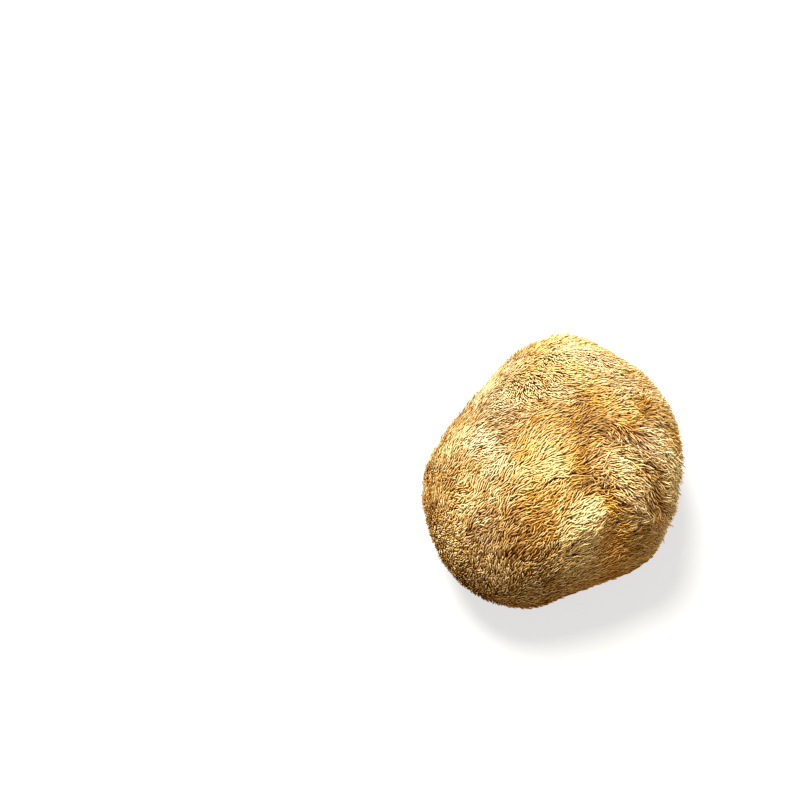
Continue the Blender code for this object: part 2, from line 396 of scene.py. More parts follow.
PATCHES = (
    Patch(-31, -3, 7, tone=0.4, warmth=-0.16, turn=-15),
    Patch(-9, -17, 8, tone=0.26, warmth=0.12, turn=-12),
    Patch(4, -28, 6, tone=0.4, warmth=-0.16),
    Patch(-3, -34, 5, tone=0.4, warmth=0.2, root_shade=-0.6),
    Patch(1.5, -32, 3.5, tone=0.2, warmth=0.06),
    Patch(16, -14, 6, tone=0.34, warmth=0.08, growth=0.15),
    Patch(20, -5, 6, tone=-0.1, warmth=-0.28, unruly=0.2, turn=-25, growth=0.25),
    Patch(12.5, -2, 4.5, tone=-0.34, warmth=-0.1, turn=-70, growth=0.2),
    Patch(24, -1, 5, tone=0.18, warmth=-0.18),
    Patch(27, 6, 5, tone=0.02, warmth=-0.32, turn=-25),
    Patch(27, -14, 7, tone=-0.02, warmth=-0.1, unruly=0.1),
    Patch(32, -4, 6, tone=0.38, warmth=-0.02, unruly=0.4, growth=0.1),
    Patch(31, -18, 6, tone=0.4, warmth=0.18, unruly=0.4, growth=0.15),
    Patch(18, -21, 5, tone=0.22, warmth=-0.16, turn=-25, growth=0.15),
    Patch(25, -20, 4, tone=-0.08, warmth=0.06, turn=-35),
    Patch(14, -23.5, 4.5, tone=-0.28, warmth=-0.16),
    Patch(19, -27, 4, tone=-0.24, warmth=-0.22, turn=40),
    Patch(11, 28, 8, tone=-0.02, warmth=-0.26, turn=-60),
    Patch(3, 32, 7, tone=0.22, warmth=-0.12),
    Patch(-5, 28, 7, tone=0.02, warmth=0.14, turn=-45),
    Patch(-2, 38, 4, unruly=0.5, growth=0.3),
    Patch(-15, 16, 7, warmth=-0.06, turn=-60),
    Patch(-22, 12, 9, tone=0.16, warmth=-0.12, turn=-20),
    Patch(-27, 21, 7, tone=0.1, warmth=-0.14),
    Patch(-4, 15, 7, tone=0.1, warmth=-0.2, turn=-45),
    Patch(21, 16, 7, tone=-0.12, warmth=-0.24, turn=-25),
    Patch(23, 11, 5, tone=-0.24, warmth=0.16, turn=25),
    Patch(7, 10, 5, tone=0.1, warmth=0.14, turn=-20),
    Patch(13, 17, 5, tone=-0.04, warmth=-0.14),
    Patch(-8, -9, 5.5, tone=0.02, warmth=-0.08),
    Patch(-16, -11, 4, tone=-0.02, warmth=0.12),
    Patch(-17, 30, 5, tone=0.04, warmth=-0.24),
    Patch(30, 19, 6, tone=0.06, warmth=-0.12),
    Patch(-37, -14, 10, tone=-0.04, warmth=-0.1),
    Patch(43, 2, 7, tone=0.08, warmth=0.08, unruly=0.6, growth=0.5),
    Patch(42, -14, 7, tone=0.1, warmth=0.06, unruly=0.4, growth=0.3),
    Patch(37, 22, 6, tone=0.16, warmth=-0.14),
    Patch(-36, 14, 8, tone=-0.2, warmth=-0.16),
    Patch(-36, -23, 7, tone=0.26, warmth=0.1),
    Patch(-28, -29, 8, tone=-0.2, warmth=-0.18),
    Patch(-22, 2, 12, tone=-0.4, warmth=-0.16),
    Patch(-24, -14, 6, tone=0.12, warmth=-0.22),
    Patch(4, 2, 9, tone=-0.26, warmth=-0.14),
    Patch(16, 7, 5, tone=0.18, warmth=-0.06),
    Patch(20, 3, 8, tone=-0.18, warmth=0.04),
    Patch(6, 13, 8, tone=-0.18, warmth=-0.02),
    Patch(2, -9, 7, tone=-0.28, warmth=-0.02),
    Patch(9, -12, 6, tone=0.12, warmth=-0.14),
    Patch(0, -21, 6, tone=-0.34, warmth=-0.06),
    Patch(-12, -28, 8, tone=-0.2),
    Patch(8, -32, 5, tone=0.2, warmth=0.4),
    Patch(12, -36, 5, tone=-0.16, warmth=0.06),
    Patch(9, -25, 4, tone=-0.12, warmth=0.26),
    Patch(18, -28, 7, tone=-0.06, warmth=0.08),
    Patch(8, -18.5, 5.5, tone=-0.26, warmth=-0.1, unruly=0.9, growth=0.25),
    Patch(-19, -36, 8, tone=-0.28, warmth=-0.02),
    Patch(-9, -37, 8, tone=-0.16, warmth=-0.04),
    Patch(-10, -43, 9, tone=0.04, warmth=0.04, growth=-0.25),
    Patch(-24, -41, 7, tone=0.02, warmth=-0.08, turn=35),
    Patch(31, 5, 6, tone=-0.22, warmth=0.14, unruly=0.3),
    Patch(-10, -11, 10, tone=-0.04, warmth=-0.06, root_shade=-1),
    Patch(-5, 30, 8, tone=0.02, warmth=-0.04, root_shade=-0.7),
    Patch(4, -27, 6, tone=-0.04, warmth=-0.04, root_shade=-0.7),
    Patch(10, 13, 8, warmth=-0.06, root_shade=-0.6),
    Patch(22, -8, 9, tone=-0.04, warmth=0.02, root_shade=1),
    Patch(21, -20, 7, tone=-0.06, warmth=0.02, root_shade=0.8),
    Patch(-10, -41, 11, tone=0.18, root_shade=0.9),
    Patch(-30, -34, 9, warmth=-0.04, root_shade=0.7),
    Patch(-42, -13, 9, tone=0.04, warmth=0.2, root_shade=0.5),
    Patch(28, -26, 8, tone=0.24, warmth=0.14, root_shade=0.6),
    Patch(-21, 6, 8, tone=0.14, root_shade=0.6),
    Patch(17, 26, 7, tone=0.02, warmth=0.04, root_shade=0.5),
    Patch(36, -3, 8, tone=0.14, root_shade=0.1),
)


@dataclass(frozen=True)
class Bulge:
    """A soft rise or hollow of the flesh.

    Attributes:
        x, y, z: Place of its middle.
        radius: How far it reaches.
        height: How far it lifts the flesh, or sinks it if below zero.
    """

    x: float
    y: float
    z: float
    radius: float
    height: float


BULGES = (
    Bulge(38, -1, 30, 9, -1),
    Bulge(33, 24, 36, 9, -1.2),
    Bulge(-7, 42, 38, 9, -0.6),
    Bulge(-24, 27, 35, 9, -0.7),
    Bulge(-38, 10, 33, 8, -0.8),
    Bulge(-37, -30, 20, 9, 1),
    Bulge(-28, -39, 18, 9, 0.5),
    Bulge(-10, -41, 15, 9, 1.9),
    Bulge(0, -38, 16, 8, 0.8),
    Bulge(24, -28, 18, 9, 1.6),
    Bulge(36, -10, 27, 9, -0.6),
)


class Part(Enum):
    """The stretches of the mane, each of which is one piece."""

    CROWN = "mane_crown"
    LEFT = "mane_left_shoulder"
    RIGHT = "mane_right_lobe"
    FRONT = "mane_front"
    BACK = "mane_back"
    UNDER = "mane_under"


@dataclass
class Roots:
    """Where the spines grow and which way they lie, as arrays with one row for each spine.

    Attributes:
        place: Places on the flesh, in millimetres.
        out: Directions straight out of the flesh.
        lie: Directions along the flesh that the spines hang in.
        lean: How far each is laid over, from 0, upright, to 1, flat.
    """

    place: np.ndarray
    out: np.ndarray
    lie: np.ndarray
    lean: np.ndarray


@dataclass
class Flesh:
    """The body under the spines, taken from the solid.

    Attributes:
        cut_height: Height up to which the underside counts as the flat cut.
        smooth_levels: How often the solid's triangles are subdivided.
        lie_reach: How many coarse spines a fine one takes its lie from.
        lie_spread: How far their pull spreads.
        full_lean: Length along the flesh of a coarse spine that is laid right over.
        swelling: How far the flesh is swollen, to fill the furrows between the coarse spines.
        full_height: Height at which the swelling is full, from none at the cut.
        feet: Places that the coarse spines stand on.
        leans: The way from each of those places to the spine's tip.
    """

    cut_height: float = 0.05
    smooth_levels: int = 2
    lie_reach: int = 7
    lie_spread: float = 2.6
    full_lean: float = 3.7
    swelling: float = 1.2
    full_height: float = 9.0
    feet: np.ndarray = field(init=False, repr=False)
    leans: np.ndarray = field(init=False, repr=False)

    def build(self, node: bpy.types.Object) -> bpy.types.Object:
        """Take the coarse spines off a copy of the solid and smooth what is left.

        Args:
            node: The solid.

        Returns:
            The flesh.
        """
        piece = bpy.data.objects.new("flesh", node.data.copy())
        bpy.context.scene.collection.objects.link(piece)
        bpy.ops.object.select_all(action="DESELECT")
        piece.select_set(True)
        bpy.context.view_layer.objects.active = piece
        bpy.ops.object.mode_set(mode="EDIT")
        bpy.ops.mesh.select_all(action="SELECT")
        bpy.ops.mesh.remove_doubles(threshold=1e-6)
        bpy.ops.mesh.select_mode(type="VERT")
        bpy.ops.mesh.select_all(action="DESELECT")
        bpy.ops.object.mode_set(mode="OBJECT")
        self.read_coarse_spines(piece.data)
        bpy.ops.object.mode_set(mode="EDIT")
        bpy.ops.mesh.dissolve_verts()
        bpy.ops.mesh.select_mode(type="FACE")
        bpy.ops.object.mode_set(mode="OBJECT")
        self.crease_cut(piece.data)
        smooth = piece.modifiers.new("smooth", "SUBSURF")
        smooth.levels = self.smooth_levels
        smooth.render_levels = self.smooth_levels
        bpy.ops.object.modifier_apply(modifier=smooth.name)
        bpy.ops.object.shade_smooth()
        self.swell(piece.data)
        self.dress(piece)
        return piece

    def read_coarse_spines(self, mesh: bpy.types.Mesh) -> None:
        """Select the coarse spines' tips, and keep where each stands and points.

        Args:
            mesh: The solid's mesh, with its corners merged.
        """
        places = np.array([v.co for v in mesh.vertices]) / MM
        near: list[set[int]] = [set() for _ in mesh.vertices]
        for edge in mesh.edges:
            first, second = edge.vertices
            near[first].add(second)
            near[second].add(first)
        tips = [i for i, around in enumerate(near) if len(around) == 3]
        for i in tips:
            mesh.vertices[i].select = True
        self.feet = np.array([places[list(near[i])].mean(0) for i in tips])
        self.leans = places[tips] - self.feet

    def crease_cut(self, mesh: bpy.types.Mesh) -> None:
        """Keep the edge of the flat cut sharp through the smoothing.

        Args:
            mesh: The flesh's mesh, before it is smoothed.
        """
        flat = np.array([v.co.z / MM < self.cut_height for v in mesh.vertices])
        numbers = {key: i for i, key in enumerate(mesh.edge_keys)}
        sides = np.zeros(len(numbers), int)
        for face in mesh.polygons:
            if all(flat[i] for i in face.vertices):
                for key in face.edge_keys:
                    sides[numbers[key]] += 1
        creases = mesh.attributes.new("crease_edge", "FLOAT", "EDGE")
        creases.data.foreach_set("value", (sides == 1).astype(np.float32))

    def swell(self, mesh: bpy.types.Mesh) -> None:
        """Fill the bottoms of the furrows, and raise and sink the bulges.

        Args:
            mesh: The flesh's mesh.
        """
        places = np.array([v.co for v in mesh.vertices])
        normals = np.array([v.normal for v in mesh.vertices])
        rise = self.swelling * ease(places[:, 2] / MM / self.full_height)
        for bulge in BULGES:
            away = ((places / MM - (bulge.x, bulge.y, bulge.z)) ** 2).sum(1)
            rise += bulge.height * np.exp(-away / bulge.radius**2)
        places += normals * (rise * MM)[:, None]
        places[:, 2] = np.maximum(places[:, 2], 0.0)
        mesh.vertices.foreach_set("co", places.ravel())
        mesh.update()

    def dress(self, piece: bpy.types.Object) -> None:
        """Give the flesh its finish, and the cut a finish of its own.

        Args:
            piece: The flesh.
        """
        mesh = piece.data
        mesh.materials.clear()
        mesh.materials.append(DriedFleshFinish().material())
        mesh.materials.append(CutFleshFinish().material())
        for face in mesh.polygons:
            on_cut = face.center.z / MM < self.cut_height and face.normal.z < -0.9
            face.material_index = 1 if on_cut else 0
            face.use_smooth = not on_cut

    def lie_at(self, places: np.ndarray, outs: np.ndarray) -> tuple[np.ndarray, np.ndarray]:
        """Work out how spines at some places lie, from the coarse spines around them.

        Args:
            places: Places on the flesh.
            outs: Directions straight out of the flesh there.

        Returns:
            Unit directions along the flesh, and how far the spines are laid over.
        """
        tree = kdtree.KDTree(len(self.feet))
        for i, foot in enumerate(self.feet):
            tree.insert(foot, i)
        tree.balance()
        found = [tree.find_n(place, self.lie_reach) for place in places]
        which = np.array([[hit[1] for hit in hits] for hits in found])
        away = np.array([[hit[2] for hit in hits] for hits in found])
        weight = np.exp(-((away / self.lie_spread) ** 2) / 2.0) + 1e-4
        pull = (self.leans[which] * weight[:, :, None]).sum(1) / weight.sum(1)[:, None]
        pull -= (pull * outs).sum(1)[:, None] * outs
        lean = np.linalg.norm(pull, axis=1) / self.full_lean
        return unit(pull), np.clip(lean, 0.0, 1.0)


@dataclass
class Planting:
    """Chooses where the spines grow.

    Real spines are finer and closer. These are as coarse as they need to be to show singly.

    Attributes:
        spacing: The least distance between two roots.
        crowding: How many places are tried for each that is kept.
        lowest_root: Height below which none grows.
        seed: Start of the random draws.
    """

    spacing: float = 0.7
    crowding: float = 5.0
    lowest_root: float = 1.6
    seed: int = 5

    def plant(self, flesh: Flesh, piece: bpy.types.Object) -> Roots:
        """Scatter roots evenly over the flesh.

        Args:
            flesh: What knows how spines lie.
            piece: The flesh's mesh object.

        Returns:
            The roots.
        """
        dice = np.random.default_rng(self.seed)
        mesh = piece.data
        mesh.calc_loop_triangles()
        corners = np.zeros(len(mesh.loop_triangles) * 3, np.int32)
        mesh.loop_triangles.foreach_get("vertices", corners)
        corners = corners.reshape(-1, 3)
        points = np.array([v.co for v in mesh.vertices]) / MM
        normals = np.array([v.normal for v in mesh.vertices])
        a, b, c = points[corners[:, 0]], points[corners[:, 1]], points[corners[:, 2]]
        area = np.linalg.norm(np.cross(b - a, c - a), axis=1) / 2.0
        tries = int(self.crowding * area.sum() / self.spacing**2)
        face = dice.choice(len(corners), tries, p=area / area.sum())
        share = dice.random((tries, 2))
        share[share.sum(1) > 1.0] = 1.0 - share[share.sum(1) > 1.0]
        parts = np.column_stack([1.0 - share.sum(1), share])[:, :, None]
        place = (points[corners[face]] * parts).sum(1)
        out = unit((normals[corners[face]] * parts).sum(1))
        high = place[:, 2] > self.lowest_root
        place, out = place[high], out[high]
        kept = self.spread(place)
        place, out = place[kept], out[kept]
        lie, lean = flesh.lie_at(place, out)
        return Roots(place, out, lie, lean)

    def spread(self, places: np.ndarray) -> list[int]:
        """Keep only places that are at least the spacing apart.

        Args:
            places: The places that are tried, in order.

        Returns:
            The numbers of those kept.
        """
        tree = kdtree.KDTree(len(places))
        for i, place in enumerate(places):
            tree.insert(place, i)
        tree.balance()
        taken = bytearray(len(places))
        kept = []
        for i, place in enumerate(places):
            if taken[i]:
                continue
            kept.append(i)
            for _, other, _ in tree.find_range(place, self.spacing):
                taken[other] = 1
        return kept


@dataclass
class MasterSpine:
    """One straight spine, modelled once and then copied along each path.

    Attributes:
        sides: Sides of its cross-section.
        rings: Share of the length and of the thickness at each ring, root first.
        strip: Height of the strip that the root's cap takes of the unit square.
        points: Places of its corners.
        faces: Numbers of the corners of each of its faces.
        levels: Share of the length at each ring and at the tip.
        ring_of: Number of the ring that each corner is on.
        unwrapped: Places in the unit square of the corners of its faces.
    """

    sides: int = 4
    rings: tuple[tuple[float, float], ...] = (
        (0.0, 1.0),
        (0.3, 1.0),
        (0.6, 0.92),
        (0.86, 0.66),
    )
    strip: float = 0.1
    points: np.ndarray = field(init=False, repr=False)
    faces: list[list[int]] = field(init=False, repr=False)
    levels: np.ndarray = field(init=False, repr=False)
    ring_of: np.ndarray = field(init=False, repr=False)
    unwrapped: np.ndarray = field(init=False, repr=False)

    def build(self) -> None:
        """Model the spine upright, one unit long and two units thick, and read its mesh."""
        bpy.ops.object.select_all(action="DESELECT")
        bpy.ops.mesh.primitive_circle_add(vertices=self.sides, radius=1.0, fill_type="NGON")
        master = bpy.context.active_object
        bpy.ops.object.mode_set(mode="EDIT")
        for (low, thick), (high, thin) in zip(self.rings, self.rings[1:]):
            bpy.ops.mesh.extrude_region_move(TRANSFORM_OT_translate={"value": (0, 0, high - low)})
            bpy.ops.transform.resize(value=(thin / thick, thin / thick, 1.0))
        last = 1.0 - self.rings[-1][0]
        bpy.ops.mesh.extrude_region_move(TRANSFORM_OT_translate={"value": (0, 0, last)})
        bpy.ops.mesh.merge(type="CENTER")
        bpy.ops.mesh.select_all(action="SELECT")
        bpy.ops.mesh.normals_make_consistent(inside=False)
        bpy.ops.object.mode_set(mode="OBJECT")
        mesh = master.data
        self.points = np.array([v.co for v in mesh.vertices])
        self.faces = [list(face.vertices) for face in mesh.polygons]
        self.levels = np.array([share for share, _ in self.rings] + [1.0])
        self.ring_of = np.abs(self.points[:, 2][:, None] - self.levels).argmin(1)
        self.unwrapped = self.unwrap()
        bpy.data.objects.remove(master, do_unlink=True)

    def unwrap(self) -> np.ndarray:
        """Lay the spine out flat in a unit square, its root cap in a strip of its own.

        Returns:
            A place in the square for each corner of each face.
        """
        laid = []
        for face in self.faces:
            x, y, z = self.points[face].T
            turn = np.arctan2(y, x) / math.tau % 1.0
            if np.ptp(z) < 1e-6:
                laid += list(zip(0.5 + 0.4 * x, self.strip * (0.4 + 0.35 * y)))
                continue
            at_tip = np.hypot(x, y) < 1e-6
            around = turn[~at_tip]
            if np.ptp(around) > 0.5:
                turn = np.where(turn < 0.5, turn + 1.0, turn)
                around = turn[~at_tip]
            turn = np.where(at_tip, around.mean(), turn)
            laid += list(zip(turn, self.strip + (1.0 - self.strip) * z))
        flat = np.array(laid)
        flat[:, 0] = flat[:, 0] / max(flat[:, 0].max(), 1.0)
        return flat


@dataclass(frozen=True)
class Combing:
    """How each spine bends, strays and curls from the way the coarse ones lie.

    Angles are in degrees above the flesh, and turns are in radians.

    Attributes:
        lengths: Length of a spine that stands straight out, and of one that is laid over.
        length_shares: Least and greatest share of that length, by chance.
        sunk: How deep the roots are set in the flesh.
        root_angles: Angle of an upright spine at its root, and of a laid one.
        tip_angles: Angle of an upright spine at its tip, and of a laid one.
        tip_lean: Factor on how far a spine counts as laid over at its tip.
        angle_spread: How far those angles vary by chance.
        bend: How near its root a spine bends over.
        follow_radius: Radius of the body that laid spines bend down over.
        swirl: How far headings drift, and over what distance.
        swirl_spread: How far headings vary by chance.
        lock_swirl: How far the headings of whole locks drift, and over what distance.
        fan: How far upright spines lean to any side.
        curl: How far tips turn aside.
        curl_spread: How far curls vary by chance.
        curl_delay: How near its tip a spine curls.
        noise_places: Where in the noise the locks and the curls are read.
        unruly: How unruly spines are where no patch adds to it.
        straying: Factor on the headings of tidy spines, and what unruly ones add to it.
        curling: Factor on the curls of tidy spines, and what unruly ones add to it.
        wild: Turn of the wildest curls, how unruly the spines are that begin to curl so, and over
            what change of it they do so fully.
        tip_lift: Added to the angle of unruly tips, and how far it varies by chance.
        front: How far forward, under what height and over what depth spines hang closer.
        front_losses: Shares of their length and of their straying that they lose there.
        front_angles: Taken from their angles at the root and at the tip there.
        steps: Steps in which a spine's path is worked out.
    """

    lengths: tuple[float, float] = (2.9, 4.8)
    length_shares: tuple[float, float] = (0.8, 1.16)
    sunk: float = 0.25
    root_angles: tuple[float, float] = (88.0, 55.0)
    tip_angles: tuple[float, float] = (70.0, 8.0)
    tip_lean: float = 1.15
    angle_spread: float = 4.0
    bend: float = 2.4
    follow_radius: float = 60.0
    swirl: tuple[float, float] = (0.38, 2.3)
    swirl_spread: float = 0.18
    lock_swirl: tuple[float, float] = (0.7, 6.5)
    fan: float = 1.2
    curl: float = 1.0
    curl_spread: float = 0.35
    curl_delay: float = 1.5
    noise_places: tuple[float, float] = (80.0, 40.0)
    unruly: float = 0.1
    straying: tuple[float, float] = (0.8, 1.4)
    curling: tuple[float, float] = (0.7, 1.5)
    wild: tuple[float, float, float] = (3.0, 0.4, 0.4)
    tip_lift: tuple[float, float] = (16.0, 24.0)
    front: tuple[float, float, float] = (30.0, 48.0, 25.0)
    front_losses: tuple[float, float] = (0.1, 0.4)
    front_angles: tuple[float, float] = (32.0, 8.0)
    steps: int = 9

    def paths(
        self, roots: Roots, style: dict[str, np.ndarray], dice: np.random.Generator
    ) -> tuple[np.ndarray, np.ndarray]:
        """Bend each spine over from its root.

        Args:
            roots: Where the spines grow.
            style: What the patches add.
            dice: Source of chance.

        Returns:
            Places along each path, and the sideways direction at each.
        """
        count, lean = len(roots.place), roots.lean
        unruly = np.clip(self.unruly + style["unruly"], 0.0, 1.0)
        reach, top, fade = self.front
        front = ease(-roots.place[:, 1] / reach) * ease((top - roots.place[:, 2]) / fade)
        length = blend(self.lengths, lean) * dice.uniform(*self.length_shares, count)
        length = length * (1.0 - self.front_losses[0] * front) * (1.0 + style["growth"])
        locks, curls = self.noise_places
        heading = self.drift(roots.place, 0.0, self.swirl[1]) * self.swirl[0]
        heading += dice.normal(0.0, self.swirl_spread, count)
        heading += self.drift(roots.place, locks, self.lock_swirl[1]) * self.lock_swirl[0]
        heading *= self.straying[0] + self.straying[1] * unruly
        heading *= 1.0 - self.front_losses[1] * front
        heading += np.radians(style["turn"])
        heading += (1.0 - lean) ** 2 * dice.uniform(-self.fan, self.fan, count)
        curl = self.drift(roots.place, curls, self.swirl[1]) * self.curl
        curl += dice.normal(0.0, self.curl_spread, count)
        curl *= self.curling[0] + self.curling[1] * unruly
        wild = self.wild[0] * ease((unruly - self.wild[1]) / self.wild[2])
        curl += wild * dice.uniform(-1.0, 1.0, count)
        begin = blend(self.root_angles, lean) + dice.normal(0.0, self.angle_spread, count)
        begin -= self.front_angles[0] * front
        end = blend(self.tip_angles, ease(lean * self.tip_lean))
        end += dice.normal(0.0, self.angle_spread, count) - self.front_angles[1] * front
        end += unruly * (self.tip_lift[0] + self.tip_lift[1] * dice.normal(0.0, 1.0, count))
        across = np.cross(roots.out, roots.lie)
        place = roots.place - self.sunk * roots.out
        path = [place]
        sides = []
        for number in range(self.steps):
            middle = (number + 0.5) / self.steps
            rise = np.radians(end + (begin - end) * (1.0 - middle) ** self.bend)
            rise = rise - lean * middle * length / self.follow_radius
            turn = heading + curl * middle**self.curl_delay
            ahead = np.cos(turn)[:, None] * roots.lie + np.sin(turn)[:, None] * across
            sides.append(np.cos(turn)[:, None] * across - np.sin(turn)[:, None] * roots.lie)
            step = np.cos(rise)[:, None] * ahead + np.sin(rise)[:, None] * roots.out
            place = place + step * (length / self.steps)[:, None]
            path.append(place)
        sides.append(sides[-1])
        return np.stack(path, 1), np.stack(sides, 1)

    def drift(self, places: np.ndarray, shift: float, size: float) -> np.ndarray:
        """Vary slowly from spine to spine, so that neighbours stay alongside each other.

        Args:
            places: Where the spines grow.
            shift: Where in the noise it is read.
            size: How far apart places are whose values differ.

        Returns:
            A value from about -1 to 1 for each spine.
        """
        start = Vector((shift, shift, shift))
        return np.array([noise.noise(Vector(p) / size + start) for p in places])


@dataclass(frozen=True)
class Colouring:
    """How the tone, the warmth and the painted root shade of the spines vary over the head.

    Attributes:
        tone: Tone of a spine where nothing is added to it.
        tone_spread: How far tones vary by chance.
        root_shade_spread: Share of that variation that full painted root shade adds to it.
        spread_limits: Least and greatest factor that the painted root shade puts on that
            variation.
        warmth_spread: How far warmth varies by chance.
        low_height: Height up to which spines are darker and warmer, partly real browning and
            partly painted shade.
        low: Taken from the tone and added to the warmth of the lowest.
        front_reach: How far in front of the middle low spines begin to differ further, and
            over what distance.
        front: Taken from their tone and added to their warmth there.
        under_slope: Slope of the flesh where spines under it begin to differ, and over what
            change of it.
        under: Taken from their tone and added to their warmth.
        root_shade_reach: Shares of its length and its thickness that full painted root shade runs
            further.
    """

    tone: float = 0.61
    tone_spread: float = 0.12
    root_shade_spread: float = 1.1
    spread_limits: tuple[float, float] = (0.1, 2.4)
    warmth_spread: float = 0.05
    low_height: float = 30.0
    low: tuple[float, float] = (0.1, 0.06)
    front_reach: tuple[float, float] = (8.0, 34.0)
    front: tuple[float, float] = (0.1, 0.16)
    under_slope: tuple[float, float] = (0.1, 0.5)
    under: tuple[float, float] = (0.24, 0.04)
    root_shade_reach: tuple[float, float] = (0.22, 0.3)

    def looks(
        self, roots: Roots, style: dict[str, np.ndarray], dice: np.random.Generator
    ) -> np.ndarray:
        """Choose each spine's tone, warmth and depth of painted root shade.

        Args:
            roots: Where the spines grow.
            style: What the patches add.
            dice: Source of chance.

        Returns:
            Tone, warmth and depth of painted root shade, one row for each spine.
        """
        count = len(roots.place)
        spread = np.clip(1.0 + self.root_shade_spread * style["root_shade"], *self.spread_limits)
        tone = self.tone + style["tone"]
        tone += self.tone_spread * spread * dice.normal(0.0, 1.0, count)
        low = ease((self.low_height - roots.place[:, 2]) / self.low_height)
        front = ease((-roots.place[:, 1] - self.front_reach[0]) / self.front_reach[1])
        under = ease((self.under_slope[0] - roots.out[:, 2]) / self.under_slope[1])
        # Darker and warmer low down, at the front and under the head: partly real browning, partly
        # painted shade of the head's shadowed lower side.
        tone -= (self.low[0] + self.front[0] * front) * low + self.under[0] * under
        warmth = style["warmth"] + dice.normal(0.0, self.warmth_spread, count)
        warmth += (self.low[1] + self.front[1] * front) * low + self.under[1] * under
        tone, warmth = np.clip(tone, 0.0, 1.0), np.clip(0.5 + warmth, 0.0, 1.0)
        return np.column_stack([tone, warmth, style["root_shade"]])

    def paint(
        self, mesh: bpy.types.Mesh, looks: np.ndarray, along: np.ndarray, outer: np.ndarray
    ) -> None:
        """Store what the material reads at each point.

        Args:
            mesh: The piece's mesh.
            looks: Tone, warmth and depth of painted root shade of each spine.
            along: Share of the length at which each point of a spine is.
            outer: How far each point of each spine faces away from the flesh.
        """
        tone, warmth, root_shade = looks.T[:, :, None]
        values = np.ones((*outer.shape, 4), np.float32)
        # Painted shade: where patches deepen it, the dark of the roots runs further along each
        # spine and round its sides.
        values[:, :, 0] = np.clip(along - self.root_shade_reach[0] * root_shade, 0.0, 1.0)
        values[:, :, 1] = tone
        values[:, :, 2] = warmth
        values[:, :, 3] = np.clip(outer - self.root_shade_reach[1] * root_shade, 0.0, 1.0)
        attribute = mesh.attributes.new("spine", "FLOAT_COLOR", "POINT")
        attribute.data.foreach_set("color", values.ravel())


